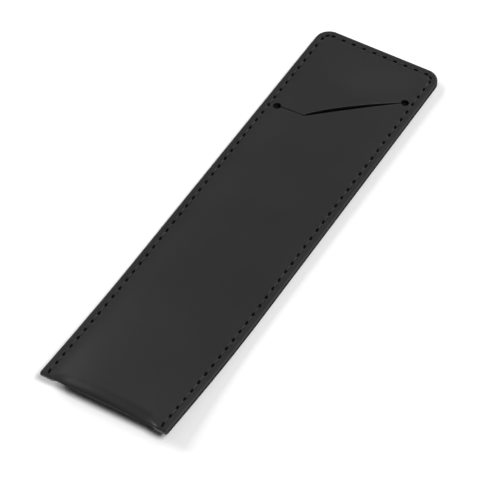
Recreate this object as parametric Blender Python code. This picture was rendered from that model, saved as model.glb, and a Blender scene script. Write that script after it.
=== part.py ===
"""Slim leather pen case: one folded strip, sewn round three sides, with a slanting slit near its round end.

Lengths are in metres and +Z is up. The case lies on its back: +Y runs from the fold to the round
end, +X runs across, and the slit faces up. The origin is under the middle of the case.
"""

from math import atan2, ceil, cos, pi, sin

import bmesh
import bpy
from mathutils import Matrix, Vector

# Outline of the finished case
LENGTH = 0.1735
WIDTH = 0.0450
CORNER_RADIUS = 0.0050

# Leather strip, and the air between its two layers at the seam
LEATHER = 0.0009
LAYER_GAP = 0.0003

# The sewn margin stands off the table, more so towards the stiff fold
MARGIN_LIFT = 0.0008
END_LIFT = 0.0032
END_DRAW_IN = 0.0005
LIFT_REACH = 0.0550
LIFT_POWER = 1.8

# The front's crown over the pocket, and more of it at the fold
CROWN = 0.0005
END_CROWN = 0.0012

# The fold: set back a little over the pocket, where the stiff leather turns wide, and tight at the seams
CREASE_SETBACK = 0.0003
FRONT_REACH = 0.0040
BACK_REACH = 0.0050
NOSE_REACH = 0.0015
FRONT_CREASE_POWER = 0.75
BACK_CREASE_POWER = 1.0
BELLY_SHARE = 0.4
TOP_FLAT = 0.0240

# Seam: needle holes and a lockstitch of two threads
SEAM_INSET = 0.0020
SEAM_BAND = 0.0012
STITCH_LENGTH = 0.0040
FIRST_STITCH = 0.0021
HOLE_LENGTH = 0.0016
HOLE_WIDTH = 0.0009
THREAD_DIAMETER = 0.00045
THREAD_CLEARANCE = 0.0001

# Slit: two round stop holes and the corner between them, from the sides and from the round end
LEFT_STOP_FROM_SIDE = 0.0049
LEFT_STOP_FROM_TOP = 0.0404
SLIT_CORNER_FROM_SIDE = 0.0150
SLIT_CORNER_FROM_TOP = 0.0402
RIGHT_STOP_FROM_SIDE = 0.0045
RIGHT_STOP_FROM_TOP = 0.0181
STOP_HOLE_RADIUS = 0.00125
SLIT_GAP = 0.0004
SLIT_BOW = 0.0011
BOW_LEAN = 0.7
BEND_SETBACK = 0.0010
BEND_GAP = 0.0004

# How finely the forms are divided
COLUMN_SHARES = (0.0, 0.2, 0.4, 0.52, 0.64, 0.76, 0.88, 1.0)
RUN_SHARES = (0.010, 0.025, 0.045, 0.070, 0.100, 0.135, 0.175, 0.220, 0.270, 0.330, 0.420,
              0.600, 0.800, 0.915, 0.932, 0.950, 0.968, 0.984)
FOLD_STEPS = 5
LIFT_STEPS = 8
CORNER_STEPS = 6
BOW_STEPS = 8
STOP_HOLE_SIDES = 24
SHARP_TURN = pi / 5

# How far a cutter runs past what it cuts
OVERRUN = 0.0020

# Sizes that follow from those above
MARGIN_THICKNESS = 2 * LEATHER + LAYER_GAP
FLAT_TOP = MARGIN_LIFT + MARGIN_THICKNESS + CROWN
TALLEST = FLAT_TOP + END_LIFT + END_CROWN
CREASE_HEIGHT = MARGIN_LIFT + END_LIFT + MARGIN_THICKNESS / 2
FOLD_Y = -LENGTH / 2
ROUND_END_Y = LENGTH / 2

# Finishes
BLACK_LEATHER = (0.030, 0.030, 0.031)
BLACK_THREAD = (0.045, 0.045, 0.047)


def ease(share):
    """Go smoothly from 0 to 1 as share does, and stay at 0 or 1 outside."""
    share = min(max(share, 0.0), 1.0)
    return share * share * (3.0 - 2.0 * share)


def mix(first, second, share):
    """Go from first to second as share goes from 0 to 1."""
    return first + (second - first) * share


def end_rise(run):
    """Share of the end lift at a distance from the fold, which fades out along the case."""
    return min(max(0.0, 1.0 - run / LIFT_REACH), 1.0) ** LIFT_POWER


def half_width(run):
    """Half of the case's width at a distance from the fold."""
    return WIDTH / 2 - END_DRAW_IN * end_rise(run)


def pocket_half_width(run):
    """Half of the width between the flat bands that carry the seam."""
    return half_width(run) - SEAM_INSET - SEAM_BAND


def margin_underside(run):
    """Height of the sewn margin's underside."""
    return MARGIN_LIFT + END_LIFT * end_rise(run)


def margin_top(run):
    """Height of the sewn margin's upper face."""
    return margin_underside(run) + MARGIN_THICKNESS


def across_weight(x, run, flat_share):
    """0 over a flat share of the pocket's width, going to 1 on the side margins."""
    pocket = pocket_half_width(run)
    flat = flat_share * pocket
    return ease((abs(x) - flat) / (pocket - flat))


def margin_weight(x, run, flat_share):
    """0 over a flat share of the pocket's width, going to 1 on all three sewn margins."""
    from_top = LENGTH - run
    along = ease((TOP_FLAT - from_top) / (TOP_FLAT - SEAM_INSET - SEAM_BAND))
    return 1.0 - (1.0 - across_weight(x, run, flat_share)) * (1.0 - along)


def front_height(x, run):
    """Height of the front's outer face, which crowns over the pocket."""
    crown = CROWN + END_CROWN * end_rise(run)
    return margin_top(run) + crown * (1.0 - margin_weight(x, run, 0.0))


def back_height(x, run):
    """Height of the back's outer face, which is flat on the table along its middle."""
    return margin_underside(run) * margin_weight(x, run, BELLY_SHARE)


def fold_start(x, side):
    """Distance from the case's end to the rounded fold, and how far the fold's rounding reaches."""
    on_margin = across_weight(x, 0.0, BELLY_SHARE)
    pocket_reach = FRONT_REACH if side > 0 else BACK_REACH
    return CREASE_SETBACK * (1.0 - on_margin), mix(pocket_reach, NOSE_REACH, on_margin)


def fold_point(x, turn, height, depth, side):
    """Place on or under the rounded fold: turn 0 is at the crease, a quarter turn at the flat sheet."""
    start, reach = fold_start(x, side)
    power = FRONT_CREASE_POWER if side > 0 else BACK_CREASE_POWER
    run = mix(start + depth, start + reach, (1.0 - cos(turn)) ** power)
    crease = CREASE_HEIGHT + side * LAYER_GAP / 2
    return run, mix(crease, height(x, run) - side * depth, sin(turn))


def sheet_point(column, row, height, depth, side):
    """Place of one grid point of a half of the strip, at a depth below the outer face."""
    steps = len(COLUMN_SHARES)
    step = abs(column - steps)
    way = -1.0 if column < steps else 1.0

    def across(run):
        """Place across the case at a distance from the fold."""
        if step == steps:
            return way * (half_width(run) + OVERRUN)
        return way * pocket_half_width(run) * COLUMN_SHARES[step]

    x = across(0.0)
    if row <= FOLD_STEPS:
        run, z = fold_point(x, row / FOLD_STEPS * pi / 2, height, depth, side)
        return Vector((x, FOLD_Y + run, z))
    start, reach = fold_start(x, side)
    run = mix(start + reach, LENGTH + OVERRUN, (RUN_SHARES + (1.0,))[row - FOLD_STEPS - 1])
    x = across(run)
    return Vector((x, FOLD_Y + run, height(x, run) - side * depth))


def new_object(name, bm, collection):
    """Turn a closed bmesh into an object in a collection, with its faces turned outward."""
    if bm.calc_volume(signed=True) < 0.0:
        bmesh.ops.reverse_faces(bm, faces=bm.faces)
    mesh = bpy.data.meshes.new(name)
    bm.to_mesh(mesh)
    bm.free()
    made = bpy.data.objects.new(name, mesh)
    collection.objects.link(made)
    return made


def extrude(bm, faces, height):
    """Raise a solid of a height from flat faces."""
    raised = bmesh.ops.extrude_face_region(bm, geom=faces)["geom"]
    moved = [item for item in raised if isinstance(item, bmesh.types.BMVert)]
    bmesh.ops.translate(bm, verts=moved, vec=(0.0, 0.0, height))


def new_material(name, colour, roughness):
    """Make a plain Principled material."""
    material = bpy.data.materials.new(name)
    material.use_nodes = True
    shader = material.node_tree.nodes["Principled BSDF"]
    shader.inputs["Base Color"].default_value = (*colour, 1.0)
    shader.inputs["Roughness"].default_value = roughness
    material.diffuse_color = (*colour, 1.0)
    return material


def half_strip(name, height, side, collection):
    """Make one half of the folded strip, before it is trimmed and punched: side is 1 on top, -1 below."""
    columns = 2 * len(COLUMN_SHARES)
    rows = FOLD_STEPS + 1 + len(RUN_SHARES)
    bm = bmesh.new()
    bmesh.ops.create_grid(bm, x_segments=columns, y_segments=rows, size=1.0)
    extrude(bm, list(bm.faces), LEATHER)
    for vertex in bm.verts:
        column = round((vertex.co.x + 1.0) / 2.0 * columns)
        row = round((vertex.co.y + 1.0) / 2.0 * rows)
        vertex.co = sheet_point(column, row, height, vertex.co.z, side)
    half = new_object(name, bm, collection)
    half.data.shade_smooth()
    half.data.set_sharp_from_angle(angle=SHARP_TURN)
    return half


def outline(inset, first_run):
    """Points of the case's outline, or of a line inside it, from the fold round to the fold again."""
    right = [Vector((half_width(first_run) - inset, FOLD_Y + first_run))]
    for step in range(LIFT_STEPS + 1):
        run = LIFT_REACH * step / LIFT_STEPS
        if run > first_run:
            right.append(Vector((half_width(run) - inset, FOLD_Y + run)))
    centre = Vector((WIDTH / 2 - CORNER_RADIUS, ROUND_END_Y - CORNER_RADIUS))
    for step in range(CORNER_STEPS + 1):
        turn = pi / 2 * step / CORNER_STEPS
        right.append(centre + (CORNER_RADIUS - inset) * Vector((cos(turn), sin(turn))))
    left = [Vector((-point.x, point.y)) for point in reversed(right)]
    return right + left


def prism(name, points, collection):
    """Make a cutter that stands on an outline and runs through the whole case."""
    bm = bmesh.new()
    ring = [bm.verts.new((point.x, point.y, -OVERRUN)) for point in points]
    extrude(bm, [bm.faces.new(ring)], TALLEST + 2 * OVERRUN)
    return new_cutter(name, bm, collection)


def new_cutter(name, bm, collection):
    """Turn a bmesh into a cutter, which is not a piece of the case."""
    cutter = new_object(name, bm, collection)
    cutter.hide_render = True
    cutter.display_type = "WIRE"
    return cutter


def cut(piece, cutter, operation):
    """Add an exact Boolean to a piece."""
    boolean = piece.modifiers.new(cutter.name, "BOOLEAN")
    boolean.operation = operation
    boolean.solver = "EXACT"
    boolean.object = cutter


def seam_places():
    """Every needle hole's place and direction, evenly spaced along each side, corner and end."""
    side = LENGTH - CORNER_RADIUS - FIRST_STITCH
    side_stitches = round(side / STITCH_LENGTH)
    radius = CORNER_RADIUS - SEAM_INSET
    corner_stitches = ceil(radius * pi / 2 / STITCH_LENGTH)
    end_stitches = round((WIDTH - 2 * CORNER_RADIUS) / STITCH_LENGTH)
    centre = Vector((WIDTH / 2 - CORNER_RADIUS, ROUND_END_Y - CORNER_RADIUS))
    right = []
    for step in range(side_stitches):
        run = FIRST_STITCH + side * step / side_stitches
        right.append(Vector((half_width(run) - SEAM_INSET, FOLD_Y + run)))
    for step in range(corner_stitches + 1):
        turn = pi / 2 * step / corner_stitches
        right.append(centre + radius * Vector((cos(turn), sin(turn))))
    end = [Vector((centre.x * (1.0 - 2.0 * step / end_stitches), ROUND_END_Y - SEAM_INSET))
           for step in range(1, end_stitches)]
    left = [Vector((-point.x, point.y)) for point in reversed(right)]
    return right + end + left


def seam_directions(places):
    """Direction of the seam at each hole, from the hole before to the hole after."""
    last = len(places) - 1
    return [(places[min(i + 1, last)] - places[max(i - 1, 0)]).normalized() for i in range(last + 1)]


def needle_holes(places, collection):
    """Make one cutter with every needle hole: short slots along the seam."""
    bm = bmesh.new()
    for place, direction in zip(places, seam_directions(places)):
        made = bmesh.ops.create_cube(bm, size=1.0)["verts"]
        bmesh.ops.scale(bm, verts=made, vec=(HOLE_LENGTH, HOLE_WIDTH, TALLEST + 2 * OVERRUN))
        turn = atan2(direction.y, direction.x)
        across = Vector((-sin(turn), cos(turn)))
        for vertex in made:
            flat = place + direction * vertex.co.x + across * vertex.co.y
            vertex.co = (flat.x, flat.y, vertex.co.z + TALLEST / 2)
    return new_cutter("needle_holes", bm, collection)


def thread_points(places, surface_height, dip_side):
    """A lockstitch thread's route: along the leather, and down each hole to the other thread."""
    radius = THREAD_DIAMETER / 2
    points = []
    for i, place in enumerate(places):
        run = place.y - FOLD_Y
        middle = margin_underside(run) + MARGIN_THICKNESS / 2
        points.append(Vector((place.x, place.y, middle + dip_side * (radius + THREAD_CLEARANCE))))
        if i + 1 == len(places):
            break
        step = places[i + 1] - place
        reach = step.normalized() * (HOLE_LENGTH / 2 - radius)
        for spot in (place + reach, places[i + 1] - reach):
            height = surface_height(spot.y - FOLD_Y) + dip_side * (radius + THREAD_CLEARANCE)
            points.append(Vector((spot.x, spot.y, height)))
    return points


def thread(name, points, collection):
    """Make a thread as a thin tube along its points."""
    curve = bpy.data.curves.new(name, "CURVE")
    curve.dimensions = "3D"
    curve.bevel_depth = THREAD_DIAMETER / 2
    curve.bevel_resolution = 0
    curve.use_fill_caps = True
    spline = curve.splines.new("POLY")
    spline.points.add(len(points) - 1)
    for made, point in zip(spline.points, points):
        made.co = (*point, 1.0)
    tube = bpy.data.objects.new(name, curve)
    collection.objects.link(tube)
    return tube


def slit_frame():
    """The slit's stop holes and corner, the direction of the bend line, and up across it."""
    left = Vector((LEFT_STOP_FROM_SIDE - WIDTH / 2, ROUND_END_Y - LEFT_STOP_FROM_TOP))
    corner = Vector((SLIT_CORNER_FROM_SIDE - WIDTH / 2, ROUND_END_Y - SLIT_CORNER_FROM_TOP))
    right = Vector((WIDTH / 2 - RIGHT_STOP_FROM_SIDE, ROUND_END_Y - RIGHT_STOP_FROM_TOP))
    along = (right - left).normalized()
    across = Vector((-along.y, along.x))
    return left, corner, right, along, across


def hinge_point():
    """Middle of the line that the tongue bends about, at the middle of the leather."""
    left, _, right, _, across = slit_frame()
    middle = left.lerp(right, 1 / 2) + across * BEND_SETBACK
    return Vector((middle.x, middle.y, front_height(middle.x, middle.y - FOLD_Y) - LEATHER / 2))


def slit_window(collection):
    """Cutter for the window in the front: the tongue with its gaps."""
    left, corner, right, _, across = slit_frame()
    root = across * (BEND_SETBACK + BEND_GAP / 2)
    points = [left, corner, right, right + root, left + root]
    return prism("slit_window", points, collection)


def tongue_blank(collection):
    """Cutter that keeps what lies above the slit: a straight short leg, and a long leg that bows."""
    left, corner, right, _, across = slit_frame()
    raised = across * SLIT_GAP
    points = [left + raised, corner + raised]
    for step in range(1, BOW_STEPS):
        share = step / BOW_STEPS
        bow = SLIT_BOW * sin(pi * share ** BOW_LEAN)
        points.append(corner.lerp(right, share) + raised + across * bow)
    points.append(right + raised)
    above = across * CORNER_RADIUS
    return prism("tongue_blank", points + [right + above, left + above], collection)


def bend_block(collection):
    """Cutter for all that lies above the bend line, which ends the tongue at its root."""
    left, _, right, along, across = slit_frame()
    root = across * (BEND_SETBACK - BEND_GAP / 2)
    above = across * 2 * CORNER_RADIUS
    points = [left - along * OVERRUN + root, right + along * OVERRUN + root,
              right + along * OVERRUN + above, left - along * OVERRUN + above]
    return prism("bend_block", points, collection)


def stop_holes(collection):
    """Cutter for the two round holes that end the slit."""
    left, _, right, _, _ = slit_frame()
    bm = bmesh.new()
    for place in (left, right):
        made = bmesh.ops.create_cone(
            bm, cap_ends=True, segments=STOP_HOLE_SIDES,
            radius1=STOP_HOLE_RADIUS, radius2=STOP_HOLE_RADIUS, depth=TALLEST)["verts"]
        bmesh.ops.translate(bm, verts=made, vec=(place.x, place.y, FLAT_TOP))
    return new_cutter("stop_holes", bm, collection)


def new_collection(name):
    """Make a collection in the scene."""
    made = bpy.data.collections.new(name)
    bpy.context.scene.collection.children.link(made)
    return made


def build():
    """Make the pen case."""
    for old in list(bpy.data.objects):
        bpy.data.objects.remove(old, do_unlink=True)
    case = new_collection("pen_case")
    cutters = new_collection("cutters")

    places = seam_places()
    blank = prism("outline_blank", outline(0.0, -OVERRUN), cutters)
    holes = needle_holes(places, cutters)
    window = slit_window(cutters)
    stops = stop_holes(cutters)

    back = half_strip("back_panel", back_height, -1, case)
    cut(back, blank, "INTERSECT")
    cut(back, holes, "DIFFERENCE")
    back.data.materials.append(new_material("back_leather", BLACK_LEATHER, 0.5))

    front = half_strip("front_panel", front_height, 1, case)
    cut(front, blank, "INTERSECT")
    cut(front, holes, "DIFFERENCE")
    cut(front, window, "DIFFERENCE")
    cut(front, stops, "DIFFERENCE")
    front.data.materials.append(new_material("front_leather", BLACK_LEATHER, 0.5))

    tongue = half_strip("slit_tongue", front_height, 1, case)
    hinge = hinge_point()
    tongue.data.transform(Matrix.Translation(-hinge))
    tongue.location = hinge
    cut(tongue, tongue_blank(cutters), "INTERSECT")
    cut(tongue, bend_block(cutters), "DIFFERENCE")
    cut(tongue, stops, "DIFFERENCE")
    tongue.data.materials.append(new_material("tongue_leather", BLACK_LEATHER, 0.5))

    needle = thread("needle_thread", thread_points(places, margin_top, 1), case)
    needle.data.materials.append(new_material("needle_thread", BLACK_THREAD, 0.6))
    bobbin = thread("bobbin_thread", thread_points(places, margin_underside, -1), case)
    bobbin.data.materials.append(new_material("bobbin_thread", BLACK_THREAD, 0.6))


if __name__ == "__main__":
    build()
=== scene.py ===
"""A slim black leather pen case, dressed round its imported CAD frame.

The case is one folded strip of leather, sewn round three sides with a lockstitch, with a slanting slit
near its rounded end. Lengths are in metres. The case lies on its back, with its fold towards -Y, its
rounded end towards +Y and the slit facing +Z, and the origin is under its middle.
"""

import logging
from collections.abc import Sequence
from dataclasses import dataclass, field
from enum import Enum
from functools import cache, cached_property
from math import atan2, ceil, cos, exp, hypot, pi, radians, sin, sqrt

import bmesh
import bpy
from mathutils import Matrix, Vector
from mathutils.kdtree import KDTree


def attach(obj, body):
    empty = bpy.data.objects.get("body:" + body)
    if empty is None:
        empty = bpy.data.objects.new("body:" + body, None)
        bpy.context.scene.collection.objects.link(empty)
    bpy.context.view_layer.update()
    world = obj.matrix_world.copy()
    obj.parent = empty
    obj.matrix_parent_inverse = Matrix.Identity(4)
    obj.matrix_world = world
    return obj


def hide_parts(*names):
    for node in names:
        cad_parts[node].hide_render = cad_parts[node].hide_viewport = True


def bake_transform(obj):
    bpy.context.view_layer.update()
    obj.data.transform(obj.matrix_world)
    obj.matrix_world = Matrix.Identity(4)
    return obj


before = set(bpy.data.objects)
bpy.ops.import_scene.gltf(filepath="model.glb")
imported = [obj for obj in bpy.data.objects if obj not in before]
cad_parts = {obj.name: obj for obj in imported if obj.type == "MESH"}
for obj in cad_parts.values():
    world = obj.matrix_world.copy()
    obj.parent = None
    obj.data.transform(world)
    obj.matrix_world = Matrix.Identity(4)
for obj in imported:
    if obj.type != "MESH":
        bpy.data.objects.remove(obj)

LOG = logging.getLogger("pen_case")
MM = 0.001
SHARP_ANGLE = radians(38)


class Face(Enum):
    """The two outer faces of the case, with the way that each looks along Z."""

    FRONT = 1
    BACK = -1


class Slot(Enum):
    """Material slots of the leather pieces."""

    GRAIN = 0
    FLESH_AND_SHADE = 1
    EDGE = 2


def ease(share: float) -> float:
    """Go smoothly from 0 to 1 as share does, and stay at 0 or 1 outside."""
    share = min(max(share, 0.0), 1.0)
    return share * share * (3.0 - 2.0 * share)


def mix(first: float, second: float, share: float) -> float:
    """Go from first to second as share goes from 0 to 1."""
    return first + (second - first) * share


def rounding(distance: float, radius: float) -> float:
    """How far a rounded edge falls away at a distance inside the edge."""
    if distance >= radius:
        return 0.0
    reach = radius - max(distance, 0.0)
    return radius - sqrt(radius * radius - reach * reach)


@dataclass(frozen=True)
class CaseForm:
    """Sizes of the finished case, and the surface that they give.

    A run is a distance from the folded end, and a share or a power has no unit. The front, back and nose
    reaches are the depths over which the fold turns over. The lift reach is the run over which the folded
    end rises from the floor.
    """

    length: float = 173.5 * MM
    width: float = 45.0 * MM
    corner_radius: float = 5.0 * MM
    leather: float = 0.9 * MM
    margin_thickness: float = 2.1 * MM
    margin_lift: float = 0.8 * MM
    end_lift: float = 3.2 * MM
    end_draw_in: float = 0.5 * MM
    lift_reach: float = 55.0 * MM
    lift_power: float = 1.8
    crown: float = 0.5 * MM
    end_crown: float = 0.7 * MM
    crease_setback: float = 0.3 * MM
    front_reach: float = 4.0 * MM
    back_reach: float = 5.0 * MM
    nose_reach: float = 0.9 * MM
    inner_nose_reach: float = 1.4 * MM
    front_crease_power: float = 0.75
    back_crease_power: float = 0.45
    belly_share: float = 0.91
    roll_share: float = 0.75
    arch_bend: float = 0.85
    top_flat: float = 24.0 * MM
    seam_inset: float = 2.3 * MM
    seam_band: float = 0.9 * MM
    hair_gap: float = 0.01 * MM
    edge_radius: float = 0.32 * MM
    inner_edge_radius: float = 0.24 * MM

    @property
    def fold_y(self) -> float:
        """Y of the case's folded end."""
        return -self.length / 2

    @property
    def flat_top(self) -> float:
        """Height of the front where the pocket lies flat."""
        return self.margin_lift + self.margin_thickness + self.crown

    def end_rise(self, run: float) -> float:
        """Share of the end lift at a distance from the fold."""
        return min(max(0.0, 1.0 - run / self.lift_reach), 1.0) ** self.lift_power

    def half_width(self, run: float) -> float:
        """Half of the case's width at a distance from the fold."""
        return self.width / 2 - self.end_draw_in * self.end_rise(run)

    def band(self) -> float:
        """Width of the flat band that carries the seam."""
        return self.seam_inset + self.seam_band

    def margin_underside(self, run: float) -> float:
        """Height of the sewn margin's underside."""
        return self.margin_lift + self.end_lift * self.end_rise(run)

    def across_weight(self, x: float, run: float, flat_share: float) -> float:
        """0 over a flat share of the pocket's width, going to 1 on the side margins."""
        pocket = self.half_width(run) - self.band()
        flat = flat_share * pocket
        return ease((abs(x) - flat) / (pocket - flat))

    def end_weight(self, run: float) -> float:
        """0 along the pocket, going to 1 on the margin of the rounded end."""
        return ease((self.top_flat - (self.length - run)) / (self.top_flat - self.band()))

    def margin_weight(self, x: float, run: float) -> float:
        """0 over the pocket's belly, going to 1 on all three sewn margins."""
        return 1.0 - (1.0 - self.across_weight(x, run, self.belly_share)) * (1.0 - self.end_weight(run))

    def arch(self, x: float, run: float) -> float:
        """Share of the crown across the pocket: an arch that is steepest beside the seam."""
        share = min(abs(x) / (self.half_width(run) - self.band()), 1.0)
        if share <= self.arch_bend:
            return 1.0 - share * share / self.arch_bend
        return (1.0 - share) ** 2 / (1.0 - self.arch_bend)

    def outer_height(self, x: float, run: float, face: Face) -> float:
        """Height of an outer face of the case.

        Args:
            x: Place across the case.
            run: Distance from the folded end.
            face: Front or back.

        Returns:
            The height above the floor.
        """
        if face is Face.BACK:
            return self.margin_underside(run) * self.margin_weight(x, run)
        crown = self.crown + self.end_crown * self.end_rise(run)
        lift = crown * self.arch(x, run) * (1.0 - self.end_weight(run))
        return self.margin_underside(run) + self.margin_thickness + lift

    def thickness(self, x: float, run: float) -> float:
        """Thickness of one layer, which fills half of the margin where the seam draws it tight."""
        half_margin = self.margin_thickness / 2 - self.hair_gap
        return mix(self.leather, half_margin, self.margin_weight(x, run))

    def edge_inset(self, x: float, run: float) -> float:
        """Distance from a point to the case's outline."""
        side = self.half_width(run) - abs(x)
        top = self.length - run
        if side < self.corner_radius and top < self.corner_radius:
            reach = hypot(self.corner_radius - side, self.corner_radius - top)
            return self.corner_radius - reach
        return min(side, top)

    def round_corner(self, x: float, run: float) -> tuple[float, float]:
        """Move a point of the square-cornered plan onto the round-cornered one.

        Args:
            x: Place across the case.
            run: Distance from the folded end.

        Returns:
            The point's new place, which only changes inside a corner.
        """
        radius = self.corner_radius
        near = 1.0 - (self.half_width(run) - abs(x)) / radius
        up = 1.0 - (self.length - run) / radius
        if near <= 0.0 or up <= 0.0:
            return x, run
        out = near * sqrt(1.0 - up * up / 2)
        over = up * sqrt(1.0 - near * near / 2)
        side = 1.0 if x > 0 else -1.0
        return side * (self.half_width(run) - radius * (1.0 - out)), self.length - radius * (1.0 - over)


@dataclass(frozen=True)
class Slit:
    """The slanting slit, its two stop holes and the line that the tongue bends about.

    Its cutters go through the front layer only. Their sink below the flat front and their half height
    count in thicknesses of leather.
    """

    form: CaseForm
    left_from_side: float = 4.9 * MM
    left_from_top: float = 39.8 * MM
    corner_from_side: float = 15.0 * MM
    corner_from_top: float = 39.6 * MM
    right_from_side: float = 4.8 * MM
    right_from_top: float = 17.5 * MM
    stop_radius: float = 1.35 * MM
    gap: float = 0.4 * MM
    bow: float = 1.1 * MM
    bow_lean: float = 0.7
    corner_gap: float = 0.3 * MM
    bend_setback: float = 1.0 * MM
    lip_radius: float = 0.12 * MM
    cutter_sink: float = 0.6
    cutter_reach: float = 1.15

    @property
    def cutter_middle(self) -> float:
        """Height of the middle of the slit's cutters."""
        return self.form.flat_top - self.cutter_sink * self.form.leather

    @property
    def cutter_half(self) -> float:
        """Half of the height of the slit's cutters."""
        return self.cutter_reach * self.form.leather

    @property
    def left(self) -> Vector:
        """Centre of the left stop hole."""
        return Vector((self.left_from_side - self.form.width / 2,
                       self.form.length / 2 - self.left_from_top))

    @property
    def corner(self) -> Vector:
        """Corner of the slit."""
        return Vector((self.corner_from_side - self.form.width / 2,
                       self.form.length / 2 - self.corner_from_top))

    @property
    def right(self) -> Vector:
        """Centre of the right stop hole."""
        return Vector((self.form.width / 2 - self.right_from_side,
                       self.form.length / 2 - self.right_from_top))

    @property
    def along(self) -> Vector:
        """Direction of the bend line, from left to right."""
        return (self.right - self.left).normalized()

    @property
    def across(self) -> Vector:
        """Direction across the bend line, towards the round end."""
        along = self.along
        return Vector((-along.y, along.x))

    def point(self, run: float, fall: float) -> Vector:
        """Place of a point by its run along the bend line and its fall below it."""
        return self.left + self.along * run + self.across * (self.bend_setback - fall)

    def measure(self, place: Vector) -> tuple[float, float]:
        """Run along the bend line and fall below it of a place."""
        from_left = place - self.left
        return from_left.dot(self.along), self.bend_setback - from_left.dot(self.across)

    def tongue_fall(self, run: float) -> float:
        """Fall of the tongue's free edge below the bend line at a run along it."""
        corner_run, corner_fall = self.measure(self.corner)
        end_run = (self.right - self.left).length
        if run <= corner_run:
            return mix(self.bend_setback, corner_fall, run / corner_run) - self.gap
        share = (run - corner_run) / (end_run - corner_run)
        bow = self.bow * sin(pi * share ** self.bow_lean) + self.corner_gap * (1.0 - share) ** 2
        return mix(corner_fall, self.bend_setback, share) - self.gap - bow

    def lip_distance(self, place: Vector) -> float:
        """Distance from a place on the front to the slit's lower lip."""
        nearest = self.form.length
        for first, last in ((self.left, self.corner), (self.corner, self.right)):
            edge = last - first
            share = min(max((place - first).dot(edge) / edge.length_squared, 0.0), 1.0)
            nearest = min(nearest, (place - first - edge * share).length)
        return nearest


@dataclass
class Seam:
    """The row of needle holes along the three sewn sides."""

    form: CaseForm
    stitch: float = 4.0 * MM
    first: float = 2.1 * MM
    hole_length: float = 1.75 * MM
    hole_width: float = 0.95 * MM
    backtack: float = 1.5
    hole_slant: float = radians(9)
    hole_sides: int = 12
    hole_depth: float = 20.0 * MM
    dent: float = 0.11 * MM
    dent_spread: float = 0.75 * MM
    groove: float = 0.01 * MM
    groove_spread: float = 0.55 * MM
    places: list[Vector] = field(init=False)
    tree: KDTree = field(init=False)

    def __post_init__(self) -> None:
        """Work out the places of the holes."""
        self.places = self.find_places()
        self.tree = KDTree(len(self.places))
        for number, place in enumerate(self.places):
            self.tree.insert((place.x, place.y, 0.0), number)
        self.tree.balance()

    def find_places(self) -> list[Vector]:
        """Space the holes evenly along each side, corner and end, from the fold's right to its left."""
        form = self.form
        side = form.length - form.corner_radius - self.first
        side_stitches = round(side / self.stitch)
        radius = form.corner_radius - form.seam_inset
        corner_stitches = ceil(radius * pi / 2 / self.stitch)
        end_stitches = round((form.width - 2 * form.corner_radius) / self.stitch)
        centre = Vector((form.width / 2 - form.corner_radius, form.length / 2 - form.corner_radius))
        right = []
        for step in range(side_stitches):
            run = self.first + side * step / side_stitches
            right.append(Vector((form.half_width(run) - form.seam_inset, form.fold_y + run)))
        for step in range(corner_stitches + 1):
            turn = pi / 2 * step / corner_stitches
            right.append(centre + radius * Vector((cos(turn), sin(turn))))
        end = [Vector((centre.x * (1.0 - 2.0 * step / end_stitches), form.length / 2 - form.seam_inset))
               for step in range(1, end_stitches)]
        left = [Vector((-place.x, place.y)) for place in reversed(right)]
        return right + end + left

    def direction(self, number: int) -> Vector:
        """Direction of the seam at a hole."""
        last = len(self.places) - 1
        return (self.places[min(number + 1, last)] - self.places[max(number - 1, 0)]).normalized()

    def sink(self, x: float, y: float, inset: float) -> float:
        """How far the drawn-down leather sinks at a place."""
        distance = self.tree.find((x, y, 0.0))[2]
        dent = self.dent * exp(-((distance / self.dent_spread) ** 2))
        off_line = (inset - self.form.seam_inset) / self.groove_spread
        return dent + self.groove * exp(-(off_line**2))


def bake(piece: bpy.types.Object) -> None:
    """Apply a piece's modifiers to its mesh."""
    bpy.context.view_layer.update()
    done = piece.evaluated_get(bpy.context.evaluated_depsgraph_get())
    mesh = bpy.data.meshes.new_from_object(done)
    piece.modifiers.clear()
    old, piece.data = piece.data, mesh
    mesh.name = piece.name
    bpy.data.meshes.remove(old)


def new_piece(name: str, bm: bmesh.types.BMesh, finishes: Sequence[bpy.types.Material]) -> bpy.types.Object:
    """Turn a closed bmesh into a piece in the scene, with its faces outward.

    Args:
        name: Name of the piece.
        bm: The mesh, which is freed.
        finishes: Materials that the faces' numbers stand for. They go on once and stay, because clearing
            the slots would set every face's number to 0.

    Returns:
        The new object.
    """
    if bm.calc_volume(signed=True) < 0.0:
        bmesh.ops.reverse_faces(bm, faces=bm.faces)
    mesh = bpy.data.meshes.new(name)
    bm.to_mesh(mesh)
    bm.free()
    for finish in finishes:
        mesh.materials.append(finish)
    piece = bpy.data.objects.new(name, mesh)
    bpy.context.scene.collection.objects.link(piece)
    return piece


def extrude(bm: bmesh.types.BMesh, faces: list[bmesh.types.BMFace], height: float) -> None:
    """Raise a solid of a height from flat faces."""
    raised = bmesh.ops.extrude_face_region(bm, geom=faces)["geom"]
    moved = [item for item in raised if isinstance(item, bmesh.types.BMVert)]
    bmesh.ops.translate(bm, verts=moved, vec=(0.0, 0.0, height))


def cut(piece: bpy.types.Object, cutter: bpy.types.Object) -> None:
    """Cut a piece with a cutter and take the cutter away."""
    boolean = piece.modifiers.new("cut", "BOOLEAN")
    boolean.operation = "DIFFERENCE"
    boolean.solver = "EXACT"
    boolean.object = cutter
    bake(piece)
    bpy.data.objects.remove(cutter, do_unlink=True)


@cache
def leather_finishes() -> tuple[bpy.types.Material, ...]:
    """Make the leather's finishes once, in the order of Slot."""
    return NappaGrain().make(), FleshSideAndHoleShade().make(), TrimmedEdge().make()


def new_cutter(bm: bmesh.types.BMesh) -> bpy.types.Object:
    """Turn a closed bmesh into a cutter, which leaves raw leather where it cuts, in the flesh finish whose
    very dark grey also paints the shade inside the cuts.
    """
    for face in bm.faces:
        face.material_index = Slot.FLESH_AND_SHADE.value
    return new_piece("cutter", bm, leather_finishes())


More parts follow.
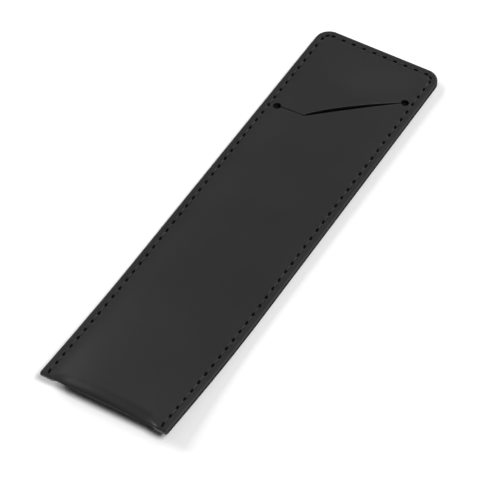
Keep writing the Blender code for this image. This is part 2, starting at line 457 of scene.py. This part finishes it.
def prism(points: list[Vector], low: float, high: float) -> bpy.types.Object:
    """Make a cutter that stands on an outline, between two heights."""
    bm = bmesh.new()
    ring = [bm.verts.new((point.x, point.y, low)) for point in points]
    extrude(bm, [bm.faces.new(ring)], high - low)
    return new_cutter(bm)


class StopHoles:
    """Cutter for the two round holes that end the slit."""

    def __init__(self, slit: Slit, sides: int = 40) -> None:
        """Keep the slit that the holes end."""
        self.slit = slit
        self.sides = sides

    def build(self) -> bpy.types.Object:
        """Make the cutter, through the front layer only."""
        slit = self.slit
        bm = bmesh.new()
        for place in (slit.left, slit.right):
            made = bmesh.ops.create_cone(
                bm, cap_ends=True, segments=self.sides, radius1=slit.stop_radius, radius2=slit.stop_radius,
                depth=2.0 * slit.cutter_half)["verts"]
            bmesh.ops.translate(bm, verts=made, vec=(place.x, place.y, slit.cutter_middle))
        return new_cutter(bm)


class LeatherStrip:
    """The one folded strip: front, rounded fold and back, with its needle holes and slit.

    The edge insets are in millimetres. Past the edge column or the edge row, the outer face is trimmed edge.
    """

    EDGE_INSETS = (0.0, 0.02, 0.07, 0.16, 0.32, 0.7, 1.1, 1.5, 1.85, 2.2, 2.6, 3.2)
    POCKET_COLUMNS = 13
    WALL_COLUMNS = (0.94, 0.95, 0.96, 0.97, 0.98, 0.99)
    FOLD_STEPS = 15
    FOLD_CROWDING = 1.5
    ROW_PITCH = 0.58 * MM
    LIP_REACH = 0.8 * MM
    LIP_CUTS = 3
    EDGE_COLUMN = 1.945
    EDGE_ROW = 1.999

    def __init__(self, form: CaseForm, slit: Slit, seam: Seam) -> None:
        """Keep the form, the slit and the seam that the strip follows."""
        self.form = form
        self.slit = slit
        self.seam = seam

    def columns(self) -> list[float]:
        """Column keys from -2 at the left edge to 2 at the right one, and 1 at the seam band's inner side."""
        band = self.form.band() / MM
        edge = [2.0 - inset / band for inset in self.EDGE_INSETS]
        pocket = [step / self.POCKET_COLUMNS for step in range(self.POCKET_COLUMNS)]
        half = sorted(set(pocket + edge) | set(self.WALL_COLUMNS))
        return [-key for key in reversed(half) if key > 0.0] + half

    def rows(self) -> list[float]:
        """Row keys from -2 at the back's round end to 2 at the front's, with the fold between -1 and 1."""
        fold = [(step / self.FOLD_STEPS) ** self.FOLD_CROWDING for step in range(self.FOLD_STEPS + 1)]
        span = self.form.length - self.form.front_reach
        edge = [2.0 - inset * MM / span for inset in self.EDGE_INSETS]
        count = round((span - self.form.band()) / self.ROW_PITCH)
        flat = [mix(1.0, edge[-1], step / count) for step in range(1, count)]
        half = sorted(set(fold + flat + edge))
        return [-key for key in reversed(half) if key > 0.0] + half

    def x_at(self, key: float, run: float) -> float:
        """Place across the case for a column key."""
        half = self.form.half_width(run)
        side = 1.0 if key >= 0.0 else -1.0
        if abs(key) <= 1.0:
            return key * (half - self.form.band())
        return side * (half - (2.0 - abs(key)) * self.form.band())

    def depth(self, x: float, run: float, face: Face, inner: bool) -> float:
        """Depth below the plain outer face: rounded edges, dents and lips outside, thickness inside."""
        inset = self.form.edge_inset(x, run)
        if inner:
            return self.form.thickness(x, run) - rounding(inset, self.form.inner_edge_radius)
        y = self.form.fold_y + run
        depth = rounding(inset, self.form.edge_radius) + self.seam.sink(x, y, inset)
        if face is Face.FRONT and run > self.form.length / 2:
            depth += rounding(self.slit.lip_distance(Vector((x, y))), self.slit.lip_radius)
        return depth

    def point(self, column: float, row: float, inner: bool) -> Vector:
        """Place of one point of the strip.

        Args:
            column: Column key.
            row: Row key.
            inner: Whether the point is on the flesh side.

        Returns:
            The point's place in the case's frame.
        """
        form = self.form
        face = Face.FRONT if row >= 0.0 else Face.BACK
        x = self.x_at(column, 0.0)
        start = form.crease_setback * (1.0 - form.across_weight(x, 0.0, form.belly_share))
        on_margin = form.across_weight(x, 0.0, form.roll_share if face is Face.FRONT else form.belly_share)
        pocket_reach = form.front_reach if face is Face.FRONT else form.back_reach
        reach = mix(pocket_reach, form.inner_nose_reach if inner else form.nose_reach, on_margin)
        key = abs(row)
        if key > 1.0:
            run = mix(start + reach, form.length, key - 1.0)
            x, run = form.round_corner(self.x_at(column, run), run)
            depth = self.depth(x, run, face, inner)
            height = form.outer_height(x, run, face) - face.value * depth
            return Vector((x, form.fold_y + run, height))
        turn = key * pi / 2
        pocket_power = form.front_crease_power if face is Face.FRONT else form.back_crease_power
        inward = (1.0 - cos(turn)) ** mix(pocket_power, 1.0, on_margin)
        depth = self.depth(x, start + reach * inward, face, inner)
        run = mix(start + depth, start + reach, inward)
        crease = form.margin_underside(0.0) + form.margin_thickness / 2
        flat = form.outer_height(x, run, face) - face.value * depth
        return Vector((x, form.fold_y + run, mix(crease, flat, sin(turn))))

    def plan_grid(self) -> bmesh.types.BMesh:
        """Make the flat grid of keys, finer along the slit's lips."""
        columns, rows = self.columns(), self.rows()
        bm = bmesh.new()
        bmesh.ops.create_grid(bm, x_segments=len(columns) - 1, y_segments=len(rows) - 1, size=1.0)
        for vertex in bm.verts:
            column = round((vertex.co.x + 1.0) / 2.0 * (len(columns) - 1))
            row = round((vertex.co.y + 1.0) / 2.0 * (len(rows) - 1))
            vertex.co = (columns[column], rows[row], 0.0)
        near = []
        for edge in bm.edges:
            key = (edge.verts[0].co + edge.verts[1].co) / 2
            if key.y > 1.0:
                place = self.point(key.x, key.y, False)
                fall = self.slit.measure(place.xy)[1]
                if self.slit.lip_distance(place.xy) < self.LIP_REACH and fall > 0.0:
                    near.append(edge)
        bmesh.ops.subdivide_edges(bm, edges=near, cuts=self.LIP_CUTS, use_grid_fill=True)
        bmesh.ops.triangulate(bm, faces=[face for face in bm.faces if len(face.verts) > 4])
        return bm

    def build(self) -> bpy.types.Object:
        """Make the strip, sew its needle holes and cut its slit."""
        bm = self.plan_grid()
        extrude(bm, list(bm.faces), 1.0)
        for face in bm.faces:
            heights = {round(vertex.co.z) for vertex in face.verts}
            near_side = max(abs(vertex.co.x) for vertex in face.verts) > self.EDGE_COLUMN
            near_end = max(abs(vertex.co.y) for vertex in face.verts) > self.EDGE_ROW
            if len(heights) > 1 or (heights == {0} and (near_side or near_end)):
                face.material_index = Slot.EDGE.value
            elif heights == {1}:
                # The flesh side's very dark grey is partly the dyed flesh and partly painted shade for the
                # pocket's inside.
                face.material_index = Slot.FLESH_AND_SHADE.value
        for vertex in bm.verts:
            vertex.co = self.point(vertex.co.x, vertex.co.y, vertex.co.z > 0.5)
        strip = new_piece("leather_strip", bm, leather_finishes())
        cut(strip, self.needle_holes())
        slit = self.slit
        root = slit.across * slit.bend_setback
        window = [slit.left, slit.corner, slit.right, slit.right + root, slit.left + root]
        low, high = slit.cutter_middle - slit.cutter_half, slit.cutter_middle + slit.cutter_half
        cut(strip, prism(window, low, high))
        cut(strip, StopHoles(slit).build())
        shade(strip)
        return strip

    def needle_holes(self) -> bpy.types.Object:
        """Make one cutter with every needle hole: slanted ovals, longer where the seam is backtacked."""
        bm = bmesh.new()
        seam = self.seam
        for number, place in enumerate(seam.places):
            made = bmesh.ops.create_cone(
                bm, cap_ends=True, segments=seam.hole_sides, radius1=0.5, radius2=0.5,
                depth=seam.hole_depth)["verts"]
            direction = seam.direction(number)
            turn = atan2(direction.y, direction.x) + seam.hole_slant
            stretch = seam.backtack if number in (0, len(seam.places) - 1) else 1.0
            size = Matrix.Diagonal((seam.hole_length * stretch, seam.hole_width, 1.0, 1.0))
            spin = Matrix.Rotation(turn, 4, "Z")
            shift = Matrix.Translation((place.x, place.y, 0.0))
            bmesh.ops.transform(bm, matrix=shift @ spin @ size, verts=made)
        return new_cutter(bm)


class SlitTongue:
    """The pointed flap of the front that the slit frees. Its edge steps are in millimetres."""

    RUNS = 72
    ROWS = 9
    EDGE_STEPS = (0.12, 0.06, 0.025, 0.0)

    def __init__(self, form: CaseForm, slit: Slit) -> None:
        """Keep the form and the slit that the tongue follows."""
        self.form = form
        self.slit = slit

    def point(self, run: float, row: int, inner: bool) -> Vector:
        """Place of a point of the tongue by its run along the bend line and its row down the flap."""
        edge = self.slit.tongue_fall(run)
        first_step = self.EDGE_STEPS[0] * MM
        if row < self.ROWS:
            fall = mix(self.form.hair_gap, edge - first_step, row / self.ROWS)
        else:
            fall = edge - self.EDGE_STEPS[row - self.ROWS] * MM
        place = self.slit.point(run, fall)
        along_case = place.y - self.form.fold_y
        height = self.form.outer_height(place.x, along_case, Face.FRONT)
        drop = self.form.leather if inner else rounding(edge - fall, self.slit.lip_radius)
        return Vector((place.x, place.y, height - drop))

    def build(self) -> bpy.types.Object:
        """Make the tongue between its bend line and its free edge, and cut it by the stop holes."""
        corner_run = self.slit.measure(self.slit.corner)[0]
        end_run = (self.slit.right - self.slit.left).length
        before = round(self.RUNS * corner_run / end_run)
        after = self.RUNS - before
        runs = [corner_run * step / before for step in range(before)]
        runs += [mix(corner_run, end_run, step / after) for step in range(after + 1)]
        last_row = self.ROWS + len(self.EDGE_STEPS) - 1
        bm = bmesh.new()
        bmesh.ops.create_grid(bm, x_segments=self.RUNS, y_segments=last_row, size=1.0)
        extrude(bm, list(bm.faces), 1.0)
        for face in bm.faces:
            heights = {round(vertex.co.z) for vertex in face.verts}
            if len(heights) > 1 or heights == {1}:
                # Cut sides and flesh side take the very dark flesh finish, partly painted shade along the
                # slit.
                face.material_index = Slot.FLESH_AND_SHADE.value
        for vertex in bm.verts:
            run = runs[round((vertex.co.x + 1.0) / 2.0 * self.RUNS)]
            row = round((vertex.co.y + 1.0) / 2.0 * last_row)
            vertex.co = self.point(run, row, vertex.co.z > 0.5)
        tongue = new_piece("tongue_leather", bm, leather_finishes())
        cut(tongue, StopHoles(self.slit).build())
        shade(tongue)
        return tongue


@dataclass
class SeamThread:
    """One thread of the lockstitch: short strands on its face, dipping into each needle hole.

    Within the deep distance of a hole's middle the thread lies at its lowest, and past the dive distance
    it lies on its face again, sunk into the leather and pushed outward a little.
    """

    POINTS_A_STITCH = 16
    SIDES = 10

    form: CaseForm
    seam: Seam
    face: Face
    finish: bpy.types.Material
    diameter: float = 0.45 * MM
    dive: float = 1.2 * MM
    deep: float = 0.5 * MM
    outward: float = 0.04 * MM
    sunk: float = 0.3 * MM

    def route(self) -> list[Vector]:
        """Points of the thread's middle line, from the first hole to the last."""
        places = self.seam.places
        points = []
        for number in range(len(places) - 1):
            first, last = places[number], places[number + 1]
            step = last - first
            out = Vector((step.y, -step.x)).normalized()
            for part in range(self.POINTS_A_STITCH):
                share = part / self.POINTS_A_STITCH
                points.append(self.point(first + step * share, out, share, step.length))
        points.append(self.point(places[-1], Vector((0.0, 0.0)), 1.0, self.seam.stitch))
        return points

    def point(self, place: Vector, out: Vector, share: float, stitch: float) -> Vector:
        """Place of a point at a share of a stitch, pushed outward and lifted onto the leather."""
        run = place.y - self.form.fold_y
        outer = self.form.outer_height(place.x, run, self.face)
        middle = self.form.margin_underside(run) + self.form.margin_thickness / 2
        side = self.face.value
        top = outer + side * (self.diameter / 2 - self.sunk)
        bottom = middle + side * (self.diameter / 2 + self.form.hair_gap)
        lift = ease((min(share, 1.0 - share) * stitch - self.deep) / (self.dive - self.deep))
        shift = out * self.outward * sin(pi * share)
        return Vector((place.x + shift.x, place.y + shift.y, mix(bottom, top, lift)))

    def build(self) -> bpy.types.Object:
        """Make the thread as a tube, and mark each point with its run along it and its turn about it."""
        name = "front_stitches" if self.face is Face.FRONT else "back_stitches"
        curve = bpy.data.curves.new(name, "CURVE")
        curve.dimensions = "3D"
        curve.bevel_depth = self.diameter / 2
        curve.bevel_resolution = self.SIDES // 2 - 2
        curve.use_fill_caps = True
        points = self.route()
        spline = curve.splines.new("POLY")
        spline.points.add(len(points) - 1)
        for made, point in zip(spline.points, points):
            made.co = (*point, 1.0)
        tube = bpy.data.objects.new(name, curve)
        bpy.context.scene.collection.objects.link(tube)
        bpy.context.view_layer.update()
        mesh = bpy.data.meshes.new_from_object(tube.evaluated_get(bpy.context.evaluated_depsgraph_get()))
        bpy.data.objects.remove(tube, do_unlink=True)
        bm = bmesh.new()
        bm.from_mesh(mesh)
        bpy.data.meshes.remove(mesh)
        bm.verts.ensure_lookup_table()
        turn = bm.verts.layers.float_vector.new("thread_turn")
        travelled = 0.0
        for ring, point in enumerate(points):
            if ring:
                travelled += (point - points[ring - 1]).length
            for vertex in bm.verts[ring * self.SIDES:(ring + 1) * self.SIDES]:
                angle = 2 * pi * (vertex.index % self.SIDES) / self.SIDES
                vertex[turn] = Vector((cos(angle), sin(angle), travelled))
        for vertex in bm.verts[len(points) * self.SIDES:]:
            end = 0.0 if (vertex.co - points[0]).length < self.diameter else travelled
            vertex[turn] = Vector((1.0, 0.0, end))
        weld = self.diameter / 1000
        bmesh.ops.remove_doubles(bm, verts=bm.verts, dist=weld)
        thread = new_piece(name, bm, [self.finish])
        thread.data.shade_smooth()
        return thread


def shade(piece: bpy.types.Object) -> None:
    """Shade a leather piece smooth, with its cut edges sharp."""
    piece.data.shade_smooth()
    piece.data.set_sharp_from_angle(angle=SHARP_ANGLE)


def linear(hex_colour: str) -> tuple[float, float, float, float]:
    """Turn an sRGB hex colour to linear light.

    Args:
        hex_colour: Six hex digits after a hash.

    Returns:
        The linear colour, with an alpha of 1.
    """
    parts = [int(hex_colour[start:start + 2], 16) / 255 for start in (1, 3, 5)]
    light = [part / 12.92 if part <= 0.04045 else ((part + 0.055) / 1.055) ** 2.4 for part in parts]
    return (*light, 1.0)


class Paint:
    """A material in the making, on the piece's own coordinates."""

    MIX_FACTOR, MIX_FIRST, MIX_SECOND, MIX_COLOUR = 0, 6, 7, 2

    def __init__(self, name: str) -> None:
        """Start a material with its plain shader.

        Args:
            name: Name of the material.
        """
        self.material = bpy.data.materials.new(name)
        self.material.use_nodes = True
        self.tree = self.material.node_tree

    def set_inputs(self, node: bpy.types.Node, inputs: dict) -> None:
        """Give each named or numbered input of a node its value or its link."""
        for name, value in inputs.items():
            if isinstance(value, bpy.types.NodeSocket):
                self.tree.links.new(value, node.inputs[name])
            else:
                node.inputs[name].default_value = value

    def add(self, kind: str, inputs: dict, output: str | int = 0, **settings: object) -> bpy.types.NodeSocket:
        """Add a node.

        Args:
            kind: The node's type name.
            inputs: Value or output socket for each input, by its name or number.
            output: Name or number of the output that is wanted.
            settings: Properties of the node.

        Returns:
            The node's output socket.
        """
        node = self.tree.nodes.new(kind)
        for name, value in settings.items():
            setattr(node, name, value)
        self.set_inputs(node, inputs)
        return node.outputs[output]

    @cached_property
    def place(self) -> bpy.types.NodeSocket:
        """The piece's own coordinates."""
        return self.add("ShaderNodeTexCoord", {}, "Object")

    def noise(self, size: float, detail: float, **more: float) -> bpy.types.NodeSocket:
        """Add a noise of a size in metres."""
        inputs = {"Vector": self.place, "Scale": 1 / size, "Detail": detail, **more}
        return self.add("ShaderNodeTexNoise", inputs, "Fac")

    def tint(self, factor: bpy.types.NodeSocket, dark: str, light: str) -> bpy.types.NodeSocket:
        """Add a mix of two sRGB hex colours."""
        inputs = {self.MIX_FACTOR: factor, self.MIX_FIRST: linear(dark), self.MIX_SECOND: linear(light)}
        return self.add("ShaderNodeMix", inputs, self.MIX_COLOUR, data_type="RGBA")

    def bump(self, height: bpy.types.NodeSocket, distance: float, strength: float = 1.0,
             **more: bpy.types.NodeSocket) -> bpy.types.NodeSocket:
        """Add a bump of a height in metres."""
        inputs = {"Height": height, "Distance": distance, "Strength": strength, **more}
        return self.add("ShaderNodeBump", inputs, "Normal")

    def finish(self, inputs: dict) -> bpy.types.Material:
        """Set the shader's own inputs and give back the material."""
        self.set_inputs(self.tree.nodes["Principled BSDF"], inputs)
        return self.material


@dataclass(frozen=True)
class NappaGrain:
    """Drum-dyed black nappa with a light matt finish: a nearly even black with a fine pebbled grain."""

    dark: str = "#1d1d1e"
    light: str = "#1f1f20"
    roughness: float = 0.38
    roughness_spread: float = 0.01
    refraction: float = 1.46
    pebble: float = 0.55 * MM
    pebble_softness: float = 0.6
    pebble_height: float = 0.010 * MM
    pore: float = 0.16 * MM
    pore_detail: float = 2.0
    pore_height: float = 0.006 * MM
    cloud: float = 14.0 * MM
    cloud_detail: float = 3.0
    cloud_range: tuple[float, float] = (0.3, 0.7)

    def make(self) -> bpy.types.Material:
        """Build the material: pebbles and pores in the bump, soft clouds in the colour and the gloss."""
        paint = Paint("nappa_grain")
        cloud = paint.noise(self.cloud, self.cloud_detail)
        gloss = paint.add("ShaderNodeMapRange", {
            "Value": cloud, "From Min": self.cloud_range[0], "From Max": self.cloud_range[1],
            "To Min": self.roughness - self.roughness_spread,
            "To Max": self.roughness + self.roughness_spread}, "Result")
        pebbles = paint.add("ShaderNodeTexVoronoi", {
            "Vector": paint.place, "Scale": 1 / self.pebble, "Smoothness": self.pebble_softness},
            "Distance", feature="SMOOTH_F1")
        pores = paint.noise(self.pore, self.pore_detail)
        pebbled = paint.bump(pebbles, -self.pebble_height)
        return paint.finish({
            "Base Color": paint.tint(cloud, self.dark, self.light), "Roughness": gloss,
            "Normal": paint.bump(pores, self.pore_height, Normal=pebbled), "IOR": self.refraction})


@dataclass(frozen=True)
class FleshSideAndHoleShade:
    """Dyed flesh side and raw cuts of the same hide: a matt, fibrous dark grey, so dark that it also stands
    in as painted shade inside the needle holes, the stop holes, the slit and the pocket.
    """

    # Tones darker than the grain: the dyed flesh, and painted shade for the holes, the slit and the pocket.
    dark: str = "#080809"
    light: str = "#131314"
    roughness: float = 0.85
    specular: float = 0.1
    fibre: float = 0.35 * MM
    fibre_detail: float = 5.0
    fibre_roughness: float = 0.7
    fibre_tangle: float = 1.2
    fibre_height: float = 0.03 * MM
    fibre_strength: float = 0.8

    def make(self) -> bpy.types.Material:
        """Build the material: short tangled fibres in the colour and the bump."""
        paint = Paint("flesh_side_and_hole_shade")
        fibres = paint.noise(self.fibre, self.fibre_detail, Roughness=self.fibre_roughness,
                             Distortion=self.fibre_tangle)
        return paint.finish({
            "Base Color": paint.tint(fibres, self.dark, self.light), "Roughness": self.roughness,
            "Normal": paint.bump(fibres, self.fibre_height, self.fibre_strength),
            "Specular IOR Level": self.specular})


@dataclass(frozen=True)
class TrimmedEdge:
    """Cut edge of the dyed hide, left raw: matt and close, with a faint waviness from the knife."""

    dark: str = "#373738"
    light: str = "#434344"
    roughness: float = 0.85
    specular: float = 0.0
    ripple: float = 0.6 * MM
    ripple_detail: float = 2.0
    ripple_height: float = 0.012 * MM

    def make(self) -> bpy.types.Material:
        """Build the material: a soft ripple in the bump and a slight change of tone."""
        paint = Paint("trimmed_edge")
        ripples = paint.noise(self.ripple, self.ripple_detail)
        return paint.finish({
            "Base Color": paint.tint(ripples, self.dark, self.light), "Roughness": self.roughness,
            "Normal": paint.bump(ripples, self.ripple_height), "Specular IOR Level": self.specular})


@dataclass(frozen=True)
class BondedThread:
    """Three-ply bonded nylon thread in black: twisted plies with a soft shine."""

    # The darker tone lies in the grooves between the plies and the lighter on their crests: painted shade.
    dark: str = "#111112"
    light: str = "#222223"
    roughness: float = 0.6
    specular: float = 0.3
    plies: int = 3
    twist: float = 1.3 * MM
    ply_height: float = 0.05 * MM
    ply_strength: float = 0.7

    def make(self) -> bpy.types.Material:
        """Build the material: plies that run round the thread as its own run and turn give them, raised by
        the bump and coloured darker in the grooves between them as painted shade.
        """
        paint = Paint("bonded_thread")
        turn = paint.add("ShaderNodeAttribute", {}, "Vector", attribute_name="thread_turn",
                         attribute_type="GEOMETRY")
        across, up, run = paint.add("ShaderNodeSeparateXYZ", {"Vector": turn}).node.outputs
        angle = paint.add("ShaderNodeMath", {0: up, 1: across}, operation="ARCTAN2")
        plies = paint.add("ShaderNodeMath", {0: angle, 1: float(self.plies)}, operation="MULTIPLY")
        wound = paint.add("ShaderNodeMath", {0: run, 1: 2 * pi * self.plies / self.twist, 2: plies},
                          operation="MULTIPLY_ADD")
        wave = paint.add("ShaderNodeMath", {0: wound}, operation="SINE")
        ply_relief_and_shade = paint.add("ShaderNodeMapRange", {"Value": wave, "From Min": -1.0, "From Max": 1.0}, "Result")
        return paint.finish({
            # The grooves between the plies take the darker tone, as painted shade.
            "Base Color": paint.tint(ply_relief_and_shade, self.dark, self.light), "Roughness": self.roughness,
            "Normal": paint.bump(ply_relief_and_shade, self.ply_height, self.ply_strength),
            "Specular IOR Level": self.specular})


@dataclass(frozen=True)
class StudioPaper:
    """Matt white studio paper, which the lamps take almost to pure white."""

    dark: str = "#f0f0f0"
    light: str = "#f4f4f4"
    roughness: float = 0.9
    specular: float = 0.2
    tooth: float = 0.8 * MM
    tooth_detail: float = 2.0

    def make(self) -> bpy.types.Material:
        """Build the material: a very faint tooth in the tone."""
        paint = Paint("studio_paper")
        tooth = paint.noise(self.tooth, self.tooth_detail)
        return paint.finish({
            "Base Color": paint.tint(tooth, self.dark, self.light), "Roughness": self.roughness,
            "Specular IOR Level": self.specular})


@dataclass(frozen=True)
class SoftLamp:
    """A soft square lamp that looks at the case. Its power is in watts."""

    name: str
    towards: tuple[float, float, float]
    size: float
    power: float
    reach: float = 2.2

    def hang(self) -> None:
        """Hang the lamp at its reach, in its direction from the case."""
        data = bpy.data.lights.new(self.name, "AREA")
        data.shape = "SQUARE"
        data.size = self.size
        data.energy = self.power
        lamp = bpy.data.objects.new(self.name, data)
        way = Vector(self.towards).normalized()
        lamp.location = way * self.reach
        lamp.rotation_euler = way.to_track_quat("Z", "Y").to_euler()
        bpy.context.scene.collection.objects.link(lamp)


@dataclass
class Studio:
    """The white floor, the soft lamps and the camera of the photograph."""

    azimuth: float = radians(30.46)
    elevation: float = radians(48.76)
    distance: float = 825.7 * MM
    target: Vector = field(default_factory=lambda: Vector((0.17 * MM, -7.08 * MM, 0.0)))
    focal_pixels: float = 2639.8
    frame_pixels: float = 480.0
    sensor_width: float = 36.0
    clip_start: float = 0.01
    floor_size: float = 6.0
    room_light: float = 0.045
    lamps: tuple[SoftLamp, ...] = (
        SoftLamp("key_lamp", (0.50, -0.20, 0.84), 0.8, 43.0),
        SoftLamp("side_lamp", (-0.83, 0.0, 0.56), 1.2, 34.0),
        SoftLamp("back_side_lamp", (-0.82, 0.53, 0.21), 0.9, 18.0),
        SoftLamp("back_lamp", (0.0, 0.97, 0.25), 1.0, 27.0))

    def camera(self) -> None:
        """Place the camera at the photograph's viewing angle."""
        data = bpy.data.cameras.new("camera")
        data.sensor_width = self.sensor_width
        data.lens = self.sensor_width * self.focal_pixels / self.frame_pixels
        data.clip_start = self.clip_start
        back = Vector((sin(self.azimuth) * cos(self.elevation), -cos(self.azimuth) * cos(self.elevation),
                       sin(self.elevation)))
        camera = bpy.data.objects.new("camera", data)
        camera.location = self.target + back * self.distance
        camera.rotation_euler = back.to_track_quat("Z", "Y").to_euler()
        bpy.context.scene.collection.objects.link(camera)
        bpy.context.scene.camera = camera

    def floor(self) -> None:
        """Lay the white floor."""
        bm = bmesh.new()
        bmesh.ops.create_grid(bm, x_segments=1, y_segments=1, size=self.floor_size / 2)
        mesh = bpy.data.meshes.new("studio_floor")
        bm.to_mesh(mesh)
        bm.free()
        floor = bpy.data.objects.new("studio_floor", mesh)
        floor.data.materials.append(StudioPaper().make())
        bpy.context.scene.collection.objects.link(floor)

    def light(self) -> None:
        """Light the room evenly and hang the lamps."""
        world = bpy.data.worlds.new("studio_light")
        world.use_nodes = True
        background = world.node_tree.nodes["Background"]
        background.inputs["Color"].default_value = (1.0, 1.0, 1.0, 1.0)
        background.inputs["Strength"].default_value = self.room_light
        bpy.context.scene.world = world
        for lamp in self.lamps:
            lamp.hang()
        bpy.context.scene.view_settings.view_transform = "Standard"

    def build(self) -> None:
        """Set the whole studio."""
        self.camera()
        self.floor()
        self.light()


@dataclass
class PenCase:
    """The whole case: the folded strip, its tongue and the two threads.

    The bend reach, in thicknesses of leather, sets two points at the middle of the bend line, the root and
    one that distance below it, which are worked out but not used.
    """

    form: CaseForm = field(default_factory=CaseForm)
    bend_reach: float = 2.0

    def build(self) -> list[bpy.types.Object]:
        """Make, dress and place every piece.

        Returns:
            The finished pieces.
        """
        slit = Slit(self.form)
        seam = Seam(self.form)
        strip = LeatherStrip(self.form, slit, seam).build()
        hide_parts("front_panel", "back_panel")
        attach(strip, "case")

        tongue = SlitTongue(self.form, slit).build()
        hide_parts("slit_tongue")
        middle = (slit.right - slit.left).length / 2
        root = slit.point(middle, 0.0)
        free = slit.point(middle, self.bend_reach * self.form.leather)
        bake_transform(tongue)

        pieces = [strip, tongue]
        thread_finish = BondedThread().make()
        for face, node in ((Face.FRONT, "needle_thread"), (Face.BACK, "bobbin_thread")):
            thread = SeamThread(self.form, seam, face, thread_finish).build()
            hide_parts(node)
            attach(thread, "case")
            pieces.append(thread)
        return pieces


def main() -> None:
    """Build the case and its studio, and report each piece."""
    logging.basicConfig(level=logging.INFO, format="%(message)s")
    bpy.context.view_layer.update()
    for piece in PenCase().build():
        LOG.info("%s: %d faces", piece.name, len(piece.data.polygons))
    Studio().build()


if __name__ == "__main__":
    main()
